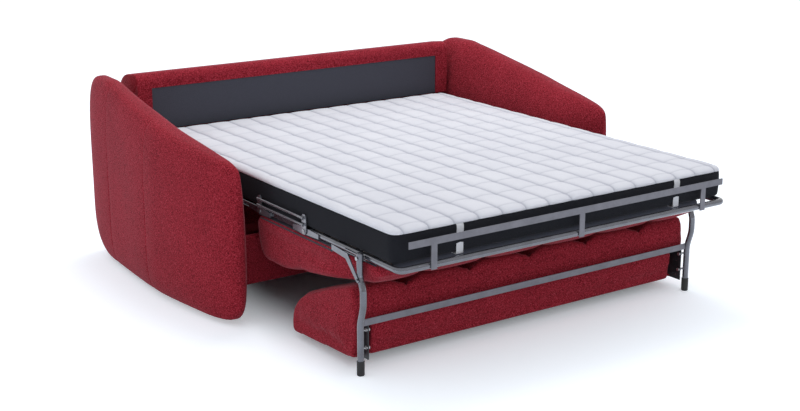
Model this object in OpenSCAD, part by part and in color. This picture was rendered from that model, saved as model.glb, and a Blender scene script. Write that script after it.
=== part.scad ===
// Fold-out sofa bed, shown opened as a bed.
// Lengths are millimetres, +Z is up, the sofa's back is at +Y and the bed's foot end is at -Y.
// The drawing runs from the mattress foot face at y = 0, and place() moves it so that the
// origin lies on the floor under the middle of the whole piece.

/* [Mattress] */
// Width of the mattress
mattress_w = 1600; // [1400:10:1700]
// Length of the mattress
mattress_l = 1900; // [1850:10:1920]
// Thickness of the mattress
mattress_h = 126; // [100:1:130]
// Radius of the mattress corners seen from above
mattress_corner_r = 38; // [30:1:90]
// Width of the two elastic straps at the foot
strap_w = 30; // [20:1:60]
// Distance between the middles of the two straps
strap_pitch = 1060; // [600:10:1200]

/* [Bed frame] */
// Outer diameter of the frame tubes
tube_d = 25; // [22:0.5:28]
// Wall of the frame tubes
tube_wall = 1.5; // [1:0.1:3]
// Height of the tube centres above the floor with the bed open
rail_z = 440; // [430:1:450]
// How far the side tube centres lie inside the mattress edge
rail_inset = 12; // [10:1:20]
// How far the foot tube stands in front of the mattress
foot_gap = 20; // [16:1:40]
// Bend radius of the foot tube corners
foot_bend_r = 24; // [20:1:60]
// Length from the mattress foot to the first fold
foot_len = 575; // [560:1:585]
// Length between the two folds
link_len = 337; // [332:1:342]
// Width of a bed slat
slat_w = 60; // [40:1:70]
// Thickness of a bed slat
slat_t = 6; // [5:0.5:8]
// Top of the guard bar above the tube centres
guard_rise = 102; // [80:1:120]
// Length of the guard bar
guard_w = 1522; // [1350:2:1560]
// Height of the flat bars
bar_h = 25; // [20:1:30]
// Thickness of the flat bars
bar_t = 4; // [3:0.5:6]

/* [Fold joints] */
// Diameter of the hinge pins
pin_d = 10; // [8:0.5:12]
// Running clearance around a pin, on the radius
pin_gap = 0.05; // [0.02:0.01:0.1]
// Thickness of a hinge plate
plate_t = 4; // [3:0.5:4.5]
// Angle that the swing links turn
swing_angle = 112.5; // [105:0.5:118]
// Distance that the bed moves back as it folds
fold_back = 108; // [100:1:112]
// Height of the tube centres of the middle section when folded
folded_z = 50; // [45:1:60]

/* [Legs] */
// Distance from the mattress foot back to the leg pivots
leg_y = 184; // [176:1:190]
// Outer diameter of the leg tubes
leg_d = 25; // [20:0.5:25]
// Gap between a leg and the side tube
leg_gap = 3; // [2:0.5:6]
// Forward bow of the legs
leg_bow = 20; // [10:1:25]
// Height of the leg's foot cap
cap_h = 55; // [30:1:70]
// Height of the middle of the cross bar
cross_bar_z = 196; // [150:1:198]

/* [Seat cushion] */
// Half width of the seat cushion beside the legs
seat_half_narrow = 798; // [780:1:800]
// Half width of the seat cushion behind the legs
seat_half_wide = 822; // [800:1:826]
// Thickness of the seat cushion at its front edge
seat_front_t = 176; // [140:1:190]
// Thickness of the seat cushion at its rear edge
seat_rear_t = 76; // [70:1:100]
// Depth of the cushion channels
channel_d = 13; // [0:1:20]

/* [Back cushion] */
// Half width of the back cushion
back_half_w = 822; // [800:1:830]
// Length of the back cushion
back_cushion_l = 452; // [420:1:480]
// Thickness of the back cushion at its lower edge
back_low_t = 276; // [220:1:280]
// Thickness of the back cushion at its upper edge
back_top_t = 126; // [90:1:140]

/* [Sofa body] */
// Distance between the inner faces of the arms
inner_w = 1700; // [1696:1:1740]
// Rear of the sofa behind the mattress foot
sofa_rear = 2120; // [2115:1:2150]
// Front of the arms behind the mattress foot
arm_front = 838; // [810:2:850]
// Width of an arm at its widest
arm_w = 232; // [200:1:260]
// Height of the back
back_top = 830; // [800:1:860]
// Height of the arm ridge at the front
arm_front_h = 660; // [630:1:700]
// Height of the arm ridge at the rear
arm_rear_h = 830; // [800:1:860]
// Front face of the dark lining board
lining_y = 1930; // [1925:1:1940]
// Top of the dark lining board
lining_top = 765; // [740:1:775]
// Wall of the hollow back
back_wall = 34; // [25:1:34]
// Front face of the front panel
panel_y = 957; // [955:1:960]
// Thickness of the front panel
panel_t = 23; // [18:1:24]
// Top of the front panel
panel_top = 328; // [280:1:330]
// Bottom of the front panel
panel_bottom = 128; // [60:1:150]
// Height of the floor glides
glide_h = 24; // [10:1:30]

/* [Hidden] */
$fn = 48;

eps = 0.01;
// Seating gap between pieces of one body that rest on each other
seat_gap = 0.2;
// Gap between pieces that pass each other
pass_gap = 1;
red = [0.56, 0.13, 0.19];
dark_red = [0.42, 0.10, 0.15];
steel = [0.50, 0.51, 0.55];
black = [0.10, 0.10, 0.11];
white = [0.90, 0.90, 0.93];
charcoal = [0.16, 0.16, 0.18];
wood = [0.30, 0.27, 0.25];

rail_x = mattress_w / 2 - rail_inset;
rail_out = rail_x + tube_d / 2;
hinge_foot = foot_len;
hinge_mid = foot_len + link_len;
hinge_clear = 20;
foot_tube_y = -foot_gap;
slat_z = rail_z + tube_d / 2 + seat_gap;
mattress_z = slat_z + slat_t + 0.3;
mattress_top = mattress_z + mattress_h;
// Reach of a fold zone on each side of a hinge
fold_reach = mattress_top - rail_z + 12;

guard_y = foot_tube_y - tube_d / 2 - seat_gap - bar_t;
front_y = guard_y;
y_mid = (front_y + sofa_rear) / 2;

// Layers across the side mechanism, measured from the middle of the sofa
plate_in = rail_out + 0.5;
plate_out = plate_in + plate_t + pass_gap;
rod_x = plate_out + plate_t + 0.2;
rod_d = 10;
rod_head_d = rod_d + 1;
swing_in = rod_x + rod_d + 1.5;
swing_t = 5;
side_plate_t = 5;
side_plate_in = inner_w / 2 - seat_gap - side_plate_t;

// Circle on which the middle section travels
chord = [fold_back, folded_z - rail_z];
chord_l = norm(chord);
swing_r = chord_l / (2 * sin(swing_angle / 2));
swing_off = swing_r * cos(swing_angle / 2);
swing_c = [hinge_mid + chord[0] / 2 + swing_off * chord[1] / chord_l,
    rail_z + chord[1] / 2 - swing_off * chord[0] / chord_l];
// Places of the two pairs of swing links along the middle section
swing_places = [180, 720];
swing_boss_r = 15;

leg_x = rail_out + leg_gap + leg_d / 2;
leg_bolt_d = 8;

seat_strip_t = 2.2;
seat_board_t = 15;
seat_top = rail_z - tube_d / 2 - seat_strip_t - 2 * seat_gap;
seat_rear_y = 105;
seat_front_y = 940;
puff_w = 291;

back_near_y = 214;
back_floor_z = 50;
back_far_z = 24;

module place() {
    translate([0, -y_mid, 0]) children();
}

// Copies a right-hand piece to the left
module both() {
    children();
    mirror([1, 0, 0]) children();
}

// Round bar along X from x0 to x1
module bar_x(y, z, d, x0, x1) {
    translate([x0, y, z]) rotate([0, 90, 0]) cylinder(d = d, h = x1 - x0);
}

// Round bar along Y from y0 to y1
module bar_y(x, z, d, y0, y1) {
    translate([x, y0, z]) rotate([-90, 0, 0]) cylinder(d = d, h = y1 - y0);
}

// Plate that lies across X, from a profile of [y, z] points
module plate_x(x, t, pts) {
    translate([x, 0, 0]) rotate([90, 0, 90]) linear_extrude(t) polygon(pts);
}

function reverse(v) = [for (i = [len(v) - 1:-1:0]) v[i]];
function lerp(a, b, t) = a + (b - a) * t;
function clamp01(t) = min(1, max(0, t));
function ease(t) = let(u = clamp01(t)) u * u * (3 - 2 * u);
// Points on an arc from angle a0 to a1
function arc(c, r, a0, a1, n) =
    [for (i = [0:n]) let(a = lerp(a0, a1, i / n)) [c[0] + r * cos(a), c[1] + r * sin(a)]];

// Skin over a row of rings that have the same even number of points.
// Each ring runs counter-clockwise for a viewer who looks along the row.
module skin(rings) {
    m = len(rings);
    n = len(rings[0]);
    pts = [for (r = rings) each r];
    sides = [for (i = [0:m - 2], j = [0:n - 1]) let(k = (j + 1) % n)
        each [[i * n + j, i * n + k, (i + 1) * n + k], [i * n + j, (i + 1) * n + k, (i + 1) * n + j]]];
    caps = [for (j = [0:n / 2 - 2]) let(a = n - 1 - j, b = n - 2 - j, e = (m - 1) * n)
        each [[j, a, b], [j, b, j + 1], [e + b, e + a, e + j], [e + j, e + j + 1, e + b]]];
    polyhedron(points = pts, faces = concat(sides, caps), convexity = 6);
}

// Quarter round of radius r: 0 at the edge, 1 at r and beyond
function edge(d, r) = sqrt(1 - pow(1 - clamp01(d / r), 2));

// How far the inner side draws in at the nose, and over what length
arm_nose_in = 77;
arm_nose_l = 390;
// How far the underside lifts at the nose and at the rear, each with the length of its round
nose_lift = [110, 133];
rear_lift = [132.5, 260];
// How far the ridge drops at the nose and at the rear, each with the length of its round
nose_drop = [45, 99];
rear_drop = [84, 115];
// How much narrower the arm is at the rear, and the rounding of its rear corner
arm_taper = 55.5;
rear_round = [33, 172];

// Height of the arm ridge along the arm
function arm_ridge(y) =
    lerp(arm_front_h, arm_rear_h, pow(clamp01((y - arm_front - 60) / 1000), 1.14))
    - nose_drop[0] * (1 - edge(y - arm_front, nose_drop[1]))
    - rear_drop[0] * (1 - edge(sofa_rear - y, rear_drop[1]));
// Reach of the arm from its inner face to its outer face
function arm_reach(y) =
    lerp(arm_nose_in + 10, arm_w - arm_taper * clamp01((y - arm_front - 500) / 800),
        edge(y - arm_front, 775))
    - rear_round[0] * (1 - edge(sofa_rear - y, rear_round[1]));

arm_rows = 27;
arm_cols = 32;
arm_rise = 23.6;
// Roundness of the arm's section: outer top, outer bottom, inner top and inner bottom
arm_power = [4.1, 3.4, 2.2, 2.8];
// Section of the arm at y, rounded off at the nose and at the rear
function arm_ring(y) =
    let(s = y - arm_front, q = sofa_rear - y,
        xi = inner_w / 2 + arm_nose_in * (1 - edge(s, arm_nose_l)) + 24 * (1 - edge(q, 40)),
        xo = inner_w / 2 + arm_reach(y), top = arm_ridge(y),
        low = glide_h - arm_rise + nose_lift[0] * (1 - edge(s, nose_lift[1]))
            + rear_lift[0] * (1 - edge(q, rear_lift[1])),
        xc = lerp(xi, xo, lerp(0.515, 0.636, clamp01(s / 900))), zc = lerp(low, top, 0.332))
    [for (j = [0:arm_cols - 1]) let(a = 360 * j / arm_cols, c = cos(a), w = sin(a),
        ax = c > 0 ? xo - xc : xc - xi, bz = w > 0 ? top - zc : zc - low,
        n = arm_power[(c > 0 ? 0 : 2) + (w > 0 ? 0 : 1)])
        [xc + ax * sign(c) * pow(abs(c), 2 / n), y, max(glide_h, zc + bz * sign(w) * pow(abs(w), 2 / n))]];

module arm() {
    skin([for (i = [0:arm_rows]) let(t = 0.5 - 0.5 * cos(180 * i / arm_rows))
        arm_ring(lerp(arm_front, sofa_rear, t))]);
}

module arm_right() {
    color(red) place() arm();
}

module arm_left() {
    color(red) place() mirror([1, 0, 0]) arm();
}

// Outline of the hollow back, from the front bottom round to the rear bottom
cavity_top = mattress_top - 10;
cavity_rear = sofa_rear - back_wall;
back_floor = glide_h;
back_sill = sofa_rear - 230;
// Heights where the rear face turns inward, and how far the hollow draws in at the floor
rear_turns = [110, 220, 330, 420];
cavity_foot = 62;
back_outline = concat(
    [[lining_y - 5, cavity_top], [lining_y - 5, back_top - 40]],
    arc([lining_y + 35, back_top - 40], 40, 180, 95, 6),
    arc([sofa_rear - 95, back_top - 110], 100, 80, 5, 7),
    [[sofa_rear, back_top - 220], [sofa_rear, rear_turns[3]], [sofa_rear - 4, rear_turns[2]],
    [sofa_rear - 14, rear_turns[1]], [sofa_rear - 30, rear_turns[0]],
    [sofa_rear - 55, back_floor + 20], [sofa_rear - 80, back_floor]],
    [[back_sill, back_floor], [back_sill, back_floor + 10], [cavity_rear - cavity_foot, back_floor + 10],
    [cavity_rear - 22, rear_turns[0]], [cavity_rear - 8, rear_turns[1]],
    [cavity_rear, rear_turns[2]], [cavity_rear, cavity_top]]);

module back_body() {
    color(red) place() difference() {
        plate_x(-(inner_w / 2 - seat_gap), inner_w - 2 * seat_gap, back_outline);
        translate([-lining_w / 2 - 0.3, lining_y - 20, cavity_top - 1])
            cube([lining_w + 0.6, 20 + lining_t + 0.3, lining_top + 0.3 - cavity_top + 1]);
    }
}

lining_w = 1560;
lining_t = 12;
module back_lining() {
    color(charcoal) place() translate([-lining_w / 2, lining_y, cavity_top])
        cube([lining_w, lining_t, lining_top - cavity_top]);
}

panel_round = 10;
// Half length of the panel, which reaches the arms where they start to draw in at the nose
panel_half = inner_w / 2 + arm_nose_in * (1 - edge(panel_y + panel_t - arm_front, arm_nose_l)) - seat_gap;
module front_panel() {
    color(dark_red) place() plate_x(-panel_half, 2 * panel_half, concat(
        [[panel_y, panel_bottom], [panel_y + panel_t, panel_bottom]],
        arc([panel_y + panel_t - panel_round, panel_top - panel_round], panel_round, 0, 90, 5),
        arc([panel_y + panel_round, panel_top - panel_round], panel_round, 90, 180, 5)));
}

bracket_l = 26;
bracket_w = 18;
bracket_t = 3;
bracket_x = inner_w / 2 - seat_gap - bracket_t;
module panel_brackets() {
    color(steel) place() both() for (z = [panel_bottom + 8, panel_top - 46])
        translate([bracket_x, panel_y + panel_t + seat_gap, z]) {
            cube([bracket_t, bracket_w, 30]);
            translate([bracket_t - bracket_l, 0, 0]) cube([bracket_l, bracket_t, 30]);
        }
}

// Steel plate on the inside of an arm, with the studs that carry the swing links
plate_ends = [swing_c[0] + swing_places[0] - 25, swing_c[0] + swing_places[1] + 25];
side_plate_h = 60;
module side_plate() {
    z0 = swing_c[1] - side_plate_h / 2;
    difference() {
        translate([side_plate_in, plate_ends[0], z0])
            cube([side_plate_t, plate_ends[1] - plate_ends[0], side_plate_h]);
        for (y = bolt_places)
            bar_x(y, swing_c[1], 8.4, side_plate_in - 1, side_plate_in + side_plate_t + 1);
        for (d = swing_places)
            bar_x(swing_c[0] + d, swing_c[1], pin_d + 0.2, side_plate_in - 1, inner_w / 2);
    }
    for (d = swing_places) {
        bar_x(swing_c[0] + d, swing_c[1], pin_d, swing_in - 2.5, side_plate_in + side_plate_t);
        bar_x(swing_c[0] + d, swing_c[1], pin_d + 10, swing_in + swing_t + 1, side_plate_in - seat_gap);
        bar_x(swing_c[0] + d, swing_c[1], pin_d + 6, swing_in - 4.5, swing_in - 1);
    }
}

bolt_places = [for (t = [0.2, 0.5, 0.8]) lerp(plate_ends[0], plate_ends[1], t)];
module side_plate_right() {
    color(steel) place() side_plate();
}

module side_plate_left() {
    color(steel) place() mirror([1, 0, 0]) side_plate();
}

// Bolts with low round heads that hold the side plates to the arms
module side_plate_bolts() {
    color(steel) place() both() for (y = bolt_places) {
        bar_x(y, swing_c[1], 8, side_plate_in - 1, side_plate_in + side_plate_t);
        bar_x(y, swing_c[1], 16, side_plate_in - 4, side_plate_in - 0.1);
    }
}

glide_places = [arm_front + 230, 0.5 * (arm_front + sofa_rear), sofa_rear - 215];
module floor_glides() {
    color(black) place() both() for (y = glide_places) translate([inner_w / 2 + 0.42 * arm_w, y, 0]) {
        cylinder(d1 = 42, d2 = 46, h = 6);
        translate([0, 0, 6]) cylinder(d = 46, h = glide_h - 6 - seat_gap);
    }
}

// One swing link, drawn with the bed open, from its foot stud to its head stud
module swing_link(d) {
    foot = swing_c + [d, 0];
    head = [hinge_mid + d, rail_z];
    dir = (head - foot) / norm(head - foot);
    side = [-dir[1], dir[0]] * swing_boss_r * 0.75;
    difference() {
        union() {
            plate_x(swing_in, swing_t, [foot + side, foot - side, head - side, head + side]);
            bar_x(foot[0], foot[1], 2 * swing_boss_r, swing_in, swing_in + swing_t);
            bar_x(head[0], head[1], 2 * swing_boss_r, swing_in, swing_in + swing_t);
        }
        for (p = [foot, head]) bar_x(p[0], p[1], pin_d + 2 * pin_gap, swing_in - 1, swing_in + swing_t + 1);
    }
}

module swing_links_front() {
    color(steel) place() both() swing_link(swing_places[0]);
}

module swing_links_rear() {
    color(steel) place() both() swing_link(swing_places[1]);
}

// Studs on the middle section that carry the heads of the swing links
module swing_studs() {
    color(steel) place() both() for (d = swing_places) {
        bar_x(hinge_mid + d, rail_z, pin_d, rail_out + seat_gap, swing_in + swing_t + 3);
        bar_x(hinge_mid + d, rail_z, pin_d + 10, rail_out + seat_gap, swing_in - 1);
        bar_x(hinge_mid + d, rail_z, pin_d + 6, swing_in + swing_t + 1, swing_in + swing_t + 3);
    }
}

// Straight side tubes and cross tubes with their bores
module ladder_frame(y0, y1, crosses) {
    difference() {
        union() {
            both() bar_y(rail_x, rail_z, tube_d, y0, y1);
            for (y = crosses) bar_x(y, rail_z, tube_d, -rail_x, rail_x);
        }
        both() bar_y(rail_x, rail_z, tube_d - 2 * tube_wall, y0 + tube_wall, y1 - tube_wall);
        for (y = crosses) bar_x(y, rail_z, tube_d - 2 * tube_wall, -rail_x, rail_x);
    }
}

middle_y0 = hinge_mid + hinge_clear;
middle_y1 = mattress_l - 25;
module middle_frame() {
    color(steel) place() ladder_frame(middle_y0, middle_y1,
        [middle_y0 + 26, (middle_y0 + middle_y1) / 2, middle_y1 - tube_d / 2 - 1]);
}

slat_half = rail_x - 4;
// Slats between two places along the bed, with equal gaps
module slats(y0, y1, n) {
    step = n > 1 ? (y1 - y0 - slat_w) / (n - 1) : 0;
    for (i = [0:n - 1])
        translate([-slat_half, y0 + i * step, slat_z]) cube([2 * slat_half, slat_w, slat_t]);
}

module middle_slats() {
    color(wood) place() slats(hinge_mid + 38, mattress_l - 26, 8);
}

module link_slats() {
    color(wood) place() slats(hinge_foot + 38, hinge_mid - 38, 2);
}

module foot_slats() {
    color(wood) place() slats(slat_y0, hinge_foot - 38, 5);
}

// Hinge plate of a neighbouring section, with a bore for the pin at the hinge
module hinge_plate(y, dir) {
    r = pin_d / 2 + 8;
    difference() {
        union() {
            bar_x(y, rail_z, 2 * r, plate_in, plate_in + plate_t);
            plate_x(plate_in, plate_t, [[y, rail_z - r], [y, rail_z + r],
                [y + dir * 95, rail_z + 9], [y + dir * 95, rail_z - 9]]);
        }
        bar_x(y, rail_z, pin_d + 2 * pin_gap, plate_in - 1, plate_in + plate_t + 1);
    }
}

module middle_hinge_plates() {
    color(steel) place() both() hinge_plate(hinge_mid, 1);
}

module foot_hinge_plates() {
    color(steel) place() both() hinge_plate(hinge_foot, -1);
}

slat_y0 = 40;
link_y0 = hinge_foot + hinge_clear;
link_y1 = hinge_mid - hinge_clear;
module link_tubes() {
    color(steel) place() ladder_frame(link_y0, link_y1, [(link_y0 + link_y1) / 2]);
}

// Upright knuckle plates at both ends of the link section, with a weld block to its tube
knuckle_w = 30;
knuckle_top = rail_z + 66;
rod_zs = [rail_z + 26, rail_z + 52];
module knuckle(y, dir) {
    r = pin_d / 2 + 8;
    w = knuckle_w / 2;
    difference() {
        union() {
            bar_x(y, rail_z, 2 * r, plate_out, plate_out + plate_t);
            plate_x(plate_out, plate_t, concat([[y - dir * r, rail_z], [y - dir * w, rail_z + 20]],
                [for (p = arc([0, knuckle_top - w], w, 180, 0, 8)) [y + dir * p[0], p[1]]],
                [[y + dir * w, rail_z + 20], [y + dir * 80, rail_z + 9],
                [y + dir * 80, rail_z - 9], [y, rail_z - r]]));
            translate([plate_in - 0.3, y + dir * 70 - 10, rail_z - 9])
                cube([plate_out - plate_in + 0.3 + eps, 20, 18]);
        }
        bar_x(y, rail_z, pin_d + 0.1, plate_out - 1, plate_out + plate_t + 1);
    }
}

module link_plates() {
    color(steel) place() both() {
        knuckle(hinge_foot, 1);
        knuckle(hinge_mid, -1);
    }
}

// Two parallel rods that tie the knuckles, with their button heads
module link_rods() {
    color(steel) place() both() for (z = rod_zs) {
        bar_y(rod_x + rod_d / 2, z, rod_d, hinge_foot - 6, hinge_mid + 6);
        for (y = [hinge_foot, hinge_mid])
            translate([rod_x + rod_head_d / 2, y, z]) sphere(d = rod_head_d);
    }
}

// Pins of the two folds: the shank is held in the knuckle and turns in the neighbour's plate
module hinge_pins() {
    color(steel) place() both() for (y = [hinge_foot, hinge_mid]) {
        bar_x(y, rail_z, pin_d, plate_in - 4, plate_out + plate_t + 3);
        bar_x(y, rail_z, pin_d + 6, plate_in - 4, plate_in - 0.5);
        bar_x(y, rail_z, pin_d + 6, plate_out + plate_t + 0.1, plate_out + plate_t + 3);
    }
}

// Heights in the mattress, and how far it is drawn in there: rounded shoulder above, small round below
function mattress_levels() = let(e = 28, b = 8) [[0, b], [b, 0], [mattress_h - e, 0],
    [mattress_h - 0.55 * e, 2.5], [mattress_h - 0.2 * e, 10], [mattress_h, e]];

module mattress_body(y0, y1) {
    r = mattress_corner_r;
    w = mattress_w / 2;
    rings = [for (l = reverse(mattress_levels())) let(o = l[1], q = r - o * 0.6)
        [for (p = concat(arc([w - r, r], q, -90, 0, 6), arc([w - r, mattress_l - r], q, 0, 90, 6),
            arc([r - w, mattress_l - r], q, 90, 180, 6), arc([r - w, r], q, 180, 270, 6)))
            let(sx = (w - o) / (w - r + q), sy = (mattress_l / 2 - o) / (mattress_l / 2 - r + q))
            [p[0] * sx, mattress_l / 2 + (p[1] - mattress_l / 2) * sy, mattress_z + l[0]]]];
    intersection() {
        skin(rings);
        translate([-mattress_w, y0, mattress_z - 1]) cube([2 * mattress_w, y1 - y0, mattress_h + 2]);
    }
}

fold_y0 = hinge_foot - fold_reach;
fold_y1 = hinge_mid + fold_reach;
module mattress_foot() {
    color(white) place() mattress_body(-1, fold_y0 - 0.3);
}

module mattress_fold() {
    color(white) place() mattress_body(fold_y0, fold_y1);
}

module mattress_head() {
    color(white) place() mattress_body(fold_y1 + 0.3, mattress_l + 1);
}

// U-shaped foot tube with two cross tubes, bored through
module u_shape(d, cut) {
    x = rail_x;
    r = foot_bend_r;
    y = foot_tube_y;
    both() {
        bar_y(x, rail_z, d, y + r, hinge_foot - hinge_clear - cut);
        translate([x - r, y + r, rail_z]) rotate([0, 0, -90]) rotate_extrude(angle = 90)
            translate([r, 0]) circle(d = d);
    }
    bar_x(y, rail_z, d, r - x, x - r);
    for (c = foot_crosses) bar_x(c, rail_z, d, -x, x);
}

foot_crosses = [270, hinge_foot - hinge_clear - tube_d / 2 - 1];
module foot_frame() {
    color(steel) place() difference() {
        u_shape(tube_d, 0);
        u_shape(tube_d - 2 * tube_wall, tube_wall);
        both() bar_x(leg_y, rail_z, leg_bolt_d + 0.1, rail_x - tube_d, rail_x + tube_d);
    }
}

post_x = 655;
post_mid_x = 20;
module foot_guard() {
    top = rail_z + guard_rise;
    color(steel) place() {
        translate([-guard_w / 2, guard_y, top - bar_h]) cube([guard_w, bar_t, bar_h]);
        for (x = [-post_x, post_mid_x, post_x])
            translate([x - bar_h / 2, guard_y, rail_z - tube_d / 2]) cube([bar_h, bar_t, top - rail_z]);
    }
}

// Elastic straps from the piping on the foot face to the underside of the first slat
strap_t = 1.6;
strap_mid_x = 10;
module mattress_straps() {
    z0 = slat_z - seat_gap - strap_t;
    color(white) place() for (s = [-1, 1])
        translate([strap_mid_x + s * strap_pitch / 2 - strap_w / 2, -strap_t - 0.3, z0]) {
            cube([strap_w, strap_t, mattress_top - 23 - z0]);
            cube([strap_w, slat_y0 + slat_w - 8, strap_t]);
        }
}

module seat_strips() {
    color(steel) place() both() translate([board_half - 22, 142, seat_top + seat_gap])
        cube([rail_x + 6 - board_half + 22, hinge_foot - hinge_clear - 152, seat_strip_t]);
}

board_half = 765;
board_y0 = 140;
board_l = seat_front_y - 40 - board_y0;
module seat_board() {
    color(wood) place() translate([-board_half, board_y0, seat_top - seat_board_t])
        cube([2 * board_half, board_l, seat_board_t]);
}

// Places along a cushion, closer together at both ends
cushion_points = 15;
function along(a, b) =
    [for (i = [0:cushion_points - 1]) lerp(a, b, 0.5 - 0.5 * cos(180 * i / (cushion_points - 1)))];

// Seat cushion as it hangs below the open bed: underside depth at y
seat_dip_y = 622;
function seat_depth(y) =
    lerp(seat_rear_t, seat_front_t, clamp01((y - seat_rear_y - 55) / 600)) * edge(y - seat_rear_y + 6, 70)
    * (0.35 + 0.65 * edge(seat_front_y - y, 62)) - 5 * exp(-pow((y - seat_dip_y) / 34, 2));
function seat_share(y) = edge(y - seat_rear_y, 90) * edge(seat_front_y - y, 50)
    * (1 - 0.5 * exp(-pow((y - seat_dip_y) / 60, 2)));
// Seat profile [y, z, channel share]: upper side from rear to front, then lower side back
function seat_profile() = let(v = along(seat_rear_y, seat_front_y)) concat(
    [for (y = v)
        [y, seat_top - 24 * (1 - edge(y - seat_rear_y, 24)) - 58 * (1 - edge(seat_front_y - y, 36)), 0]],
    [for (y = reverse(v))
        [y, seat_top - max(seat_depth(y), y > seat_front_y - 1 ? 92 : 46), seat_share(y)]]);

// Back cushion as it lies under the open bed: levels of its lower side, its middle and its upper side
back_far_y = back_near_y + back_cushion_l;
function back_v(y) = (y - back_near_y) / back_cushion_l;
function back_base(y) = lerp(back_floor_z, back_far_z, back_v(y));
function back_core(y) = lerp(0.42 * back_low_t + back_floor_z, 0.46 * back_top_t + back_far_z, back_v(y));
function back_crest(y) =
    lerp(back_floor_z + back_low_t, back_far_z + back_top_t, back_v(y)) + 12 * sin(180 * back_v(y));
// Share of the full height near the two ends, for rounds of radii r0 and r1
function back_round(y, r0, r1) = edge(y - back_near_y, r0) * edge(back_far_y - y, r1);
// Back profile [y, z, channel share]: upper side from near to far, then lower side back
function back_profile() = let(v = along(back_near_y, back_far_y)) concat(
    [for (y = v)
        [y, lerp(back_core(y), back_crest(y), max(0.1, back_round(y, 66, 84))), back_round(y, 40, 160)]],
    [for (y = reverse(v)) [y, lerp(back_core(y), back_base(y), max(0.1, back_round(y, 12, 32))), 0]]);

// Stations across a cushion: close together at the ends and at each channel
function stations(hw) =
    let(side = [0, 3, 10, 29, 62], puffs = [for (c = [-2:2], o = [-95, -30, -9, 9, 30]) c * puff_w + o])
    concat([for (s = side) s - hw], puffs, [2 * puff_w + 95], [for (s = reverse(side)) hw - s]);
// Distance to the nearest channel
function channel_off(x) = abs(x - puff_w * round(x / puff_w));
function channel_at(x) = abs(x) > 2.6 * puff_w ? 0 : exp(-pow(channel_off(x) / 26, 2));
function puff_at(x) = 0.35 * sin(180 * clamp01(channel_off(x) / puff_w));

// Section of a cushion at the place x, drawn in by a round of radius r at the sides.
// In a profile, points i and n - 1 - i lie one above the other.
function section(prof, x, hw, r) =
    let(n = len(prof), u = clamp01((abs(x) - (hw - r)) / r), inset = r * (1 - sqrt(max(0, 1 - u * u))),
        ks = channel_at(x) - puff_at(x), a = prof[0][0], b = prof[n / 2 - 1][0])
    [for (i = [0:n - 1]) let(p = prof[i], q = prof[n - 1 - i], mid = (p[1] + q[1]) / 2,
        h = (p[1] - q[1]) / 2, cut = inset + p[2] * channel_d * ks)
        [x, lerp(p[0], (a + b) / 2, 2 * inset / (b - a)), mid + sign(h) * max(abs(h) - cut, 0.45 * abs(h))]];

// Share of the seat cushion's full width at y: it is narrower beside the legs
function seat_half(y) =
    lerp(seat_half_narrow, seat_half_wide, ease((y - leg_y - 40) / 190)) / seat_half_wide;
module seat_cushion() {
    prof = seat_profile();
    color(red) place() difference() {
        skin([for (x = stations(seat_half_wide)) [for (p = section(prof, x, seat_half_wide, 32))
            [p[0] * seat_half(p[1]), p[1], p[2]]]]);
        translate([-board_half - 0.4, board_y0 - 0.4, seat_top - seat_board_t - 0.3])
            cube([2 * board_half + 0.8, board_l + 0.8, seat_board_t + 5]);
    }
}

module back_cushion() {
    prof = back_profile();
    color(red) place() difference() {
        skin([for (x = stations(back_half_w)) section(prof, x, back_half_w, 14)]);
        back_board_shape(0.4);
        both() translate([back_plate_x - slot_side, back_near_y - 40, back_plate_z0 - 0.5])
            cube([slot_side + back_plate_t + 0.4, back_plate_y1 + 0.4 - back_near_y + 40, back_plate_h + 1]);
    }
}

back_board_tilt = atan((back_floor_z - back_far_z) / back_cushion_l);
back_board_half = 715;
// Board in the lower side of the back cushion, made larger all round by g
module back_board_shape(g) {
    translate([0, back_near_y + 60, back_base(back_near_y + 60) - 4]) rotate([-back_board_tilt, 0, 0])
        translate([-back_board_half - g, -g, -8])
            cube([2 * (back_board_half + g), back_cushion_l - 120 + 2 * g, 20 + g]);
}

module back_board() {
    color(wood) place() back_board_shape(0);
}

module leg_bolts() {
    out = leg_x + leg_d / 2;
    color(steel) place() both() {
        bar_x(leg_y, rail_z, leg_bolt_d, rail_x - tube_d / 2 - 4, out + 4);
        bar_x(leg_y, rail_z, leg_bolt_d + 6, rail_x - tube_d / 2 - 4, rail_x - tube_d / 2 - seat_gap);
        bar_x(leg_y, rail_z, leg_bolt_d + 6, out + 0.5, out + 4);
        bar_x(leg_y, rail_z, leg_bolt_d + 5, rail_out + seat_gap, leg_x - leg_d / 2 - 0.4);
    }
}

// Heights where the bow of a leg starts and where it begins to end
bow_z = [182, 312];
// Forward bow of the leg at a height above the floor
function bow_at(z) = leg_bow * ease((z - bow_z[0]) / 95) * (1 - ease((z - bow_z[1]) / 72));
leg_top = rail_z + 19;
leg_sides = 20;
leg_rings = 17;
module leg() {
    heights = concat([cap_h - 30], [for (i = [0:leg_rings]) lerp(bow_z[0], bow_z[1] + 72, i / leg_rings)],
        [leg_top - 3, leg_top]);
    difference() {
        skin([for (z = reverse(heights)) let(r = z == leg_top ? leg_d / 2 - 3 : leg_d / 2)
            [for (i = [0:leg_sides - 1]) let(a = 360 * i / leg_sides)
            [leg_x + r * cos(a), leg_y - bow_at(z) + r * sin(a), z]]]);
        bar_x(leg_y, rail_z, leg_bolt_d + 2 * pin_gap, leg_x - leg_d, leg_x + leg_d);
    }
}

module leg_right() {
    color(steel) place() leg();
}

module leg_left() {
    color(steel) place() mirror([1, 0, 0]) leg();
}

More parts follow.
